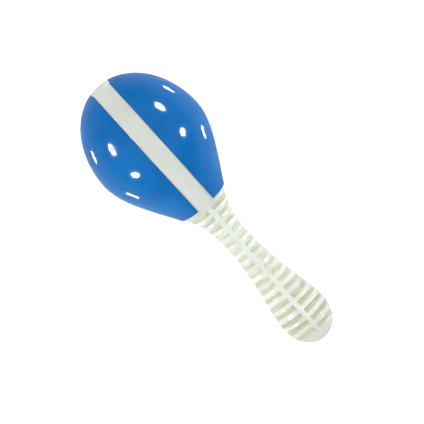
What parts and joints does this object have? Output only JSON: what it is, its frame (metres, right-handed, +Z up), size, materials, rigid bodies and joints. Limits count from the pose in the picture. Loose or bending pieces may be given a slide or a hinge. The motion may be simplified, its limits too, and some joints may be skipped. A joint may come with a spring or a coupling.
{
  "type": "maraca",
  "caption": "Toy maraca lying on its side: two-shell egg-shaped rattle head with a band over the crown, loose pellets inside and an openwork ribbed handle.",
  "frame": {"origin": "on the surface the maraca lies on, below the middle of its bounding box", "axes": "+X from the crown of the head towards the butt of the handle, +Z up out of the front band, +Y towards the right shell; y = 0 is the plane of symmetry"},
  "size_m": [0.1982, 0.0734, 0.073],
  "materials": {
    "shell_blue": "polished moulded blue plastic",
    "frame_cream": "satin moulded cream plastic",
    "pellet_grey": "plain moulded beads"
  },
  "bodies": {
    "maraca": {"front_frame": "frame_cream", "rear_frame": "frame_cream", "left_head_shell": "shell_blue", "right_head_shell": "shell_blue"},
    "pellet_01": {"pellet_01": "pellet_grey"},
    "pellet_02": {"pellet_02": "pellet_grey"},
    "pellet_03": {"pellet_03": "pellet_grey"},
    "pellet_04": {"pellet_04": "pellet_grey"},
    "pellet_05": {"pellet_05": "pellet_grey"},
    "pellet_06": {"pellet_06": "pellet_grey"},
    "pellet_07": {"pellet_07": "pellet_grey"},
    "pellet_08": {"pellet_08": "pellet_grey"},
    "pellet_09": {"pellet_09": "pellet_grey"},
    "pellet_10": {"pellet_10": "pellet_grey"},
    "pellet_11": {"pellet_11": "pellet_grey"},
    "pellet_12": {"pellet_12": "pellet_grey"},
    "pellet_13": {"pellet_13": "pellet_grey"},
    "pellet_14": {"pellet_14": "pellet_grey"},
    "pellet_15": {"pellet_15": "pellet_grey"},
    "pellet_16": {"pellet_16": "pellet_grey"},
    "pellet_17": {"pellet_17": "pellet_grey"},
    "pellet_18": {"pellet_18": "pellet_grey"},
    "pellet_19": {"pellet_19": "pellet_grey"},
    "pellet_20": {"pellet_20": "pellet_grey"},
    "pellet_21": {"pellet_21": "pellet_grey"},
    "pellet_22": {"pellet_22": "pellet_grey"},
    "pellet_23": {"pellet_23": "pellet_grey"},
    "pellet_24": {"pellet_24": "pellet_grey"}
  },
  "joints": [
    {"name": "pellet_01_travel", "type": "slide", "parent": "maraca", "child": "pellet_01", "axis": [0.1516, 0, 0.9884], "range_m": [0, 0.0589]},
    {"name": "pellet_02_travel", "type": "slide", "parent": "maraca", "child": "pellet_02", "axis": [0.1516, 0, 0.9884], "range_m": [0, 0.0588]},
    {"name": "pellet_03_travel", "type": "slide", "parent": "maraca", "child": "pellet_03", "axis": [0.1516, 0, 0.9884], "range_m": [0, 0.057]},
    {"name": "pellet_04_travel", "type": "slide", "parent": "maraca", "child": "pellet_04", "axis": [0.1516, 0, 0.9884], "range_m": [0, 0.0537]},
    {"name": "pellet_05_travel", "type": "slide", "parent": "maraca", "child": "pellet_05", "axis": [0.1516, 0, 0.9884], "range_m": [0, 0.0602]},
    {"name": "pellet_06_travel", "type": "slide", "parent": "maraca", "child": "pellet_06", "axis": [0.1516, 0, 0.9884], "range_m": [0, 0.0608]},
    {"name": "pellet_07_travel", "type": "slide", "parent": "maraca", "child": "pellet_07", "axis": [0.1516, 0, 0.9884], "range_m": [0, 0.0599]},
    {"name": "pellet_08_travel", "type": "slide", "parent": "maraca", "child": "pellet_08", "axis": [0.1516, 0, 0.9884], "range_m": [0, 0.0574]},
    {"name": "pellet_09_travel", "type": "slide", "parent": "maraca", "child": "pellet_09", "axis": [0.1516, 0, 0.9884], "range_m": [0, 0.0535]},
    {"name": "pellet_10_travel", "type": "slide", "parent": "maraca", "child": "pellet_10", "axis": [0.1516, 0, 0.9884], "range_m": [0, 0.0601]},
    {"name": "pellet_11_travel", "type": "slide", "parent": "maraca", "child": "pellet_11", "axis": [0.1516, 0, 0.9884], "range_m": [0, 0.0611]},
    {"name": "pellet_12_travel", "type": "slide", "parent": "maraca", "child": "pellet_12", "axis": [0.1516, 0, 0.9884], "range_m": [0, 0.061]},
    {"name": "pellet_13_travel", "type": "slide", "parent": "maraca", "child": "pellet_13", "axis": [0.1516, 0, 0.9884], "range_m": [0, 0.0593]},
    {"name": "pellet_14_travel", "type": "slide", "parent": "maraca", "child": "pellet_14", "axis": [0.1516, 0, 0.9884], "range_m": [0, 0.0562]},
    {"name": "pellet_15_travel", "type": "slide", "parent": "maraca", "child": "pellet_15", "axis": [0.1516, 0, 0.9884], "range_m": [0, 0.052]},
    {"name": "pellet_16_travel", "type": "slide", "parent": "maraca", "child": "pellet_16", "axis": [0.1516, 0, 0.9884], "range_m": [0, 0.0602]},
    {"name": "pellet_17_travel", "type": "slide", "parent": "maraca", "child": "pellet_17", "axis": [0.1516, 0, 0.9884], "range_m": [0, 0.0608]},
    {"name": "pellet_18_travel", "type": "slide", "parent": "maraca", "child": "pellet_18", "axis": [0.1516, 0, 0.9884], "range_m": [0, 0.0599]},
    {"name": "pellet_19_travel", "type": "slide", "parent": "maraca", "child": "pellet_19", "axis": [0.1516, 0, 0.9884], "range_m": [0, 0.0574]},
    {"name": "pellet_20_travel", "type": "slide", "parent": "maraca", "child": "pellet_20", "axis": [0.1516, 0, 0.9884], "range_m": [0, 0.0535]},
    {"name": "pellet_21_travel", "type": "slide", "parent": "maraca", "child": "pellet_21", "axis": [0.1516, 0, 0.9884], "range_m": [0, 0.0589]},
    {"name": "pellet_22_travel", "type": "slide", "parent": "maraca", "child": "pellet_22", "axis": [0.1516, 0, 0.9884], "range_m": [0, 0.0588]},
    {"name": "pellet_23_travel", "type": "slide", "parent": "maraca", "child": "pellet_23", "axis": [0.1516, 0, 0.9884], "range_m": [0, 0.057]},
    {"name": "pellet_24_travel", "type": "slide", "parent": "maraca", "child": "pellet_24", "axis": [0.1516, 0, 0.9884], "range_m": [0, 0.0537]}
  ]
}
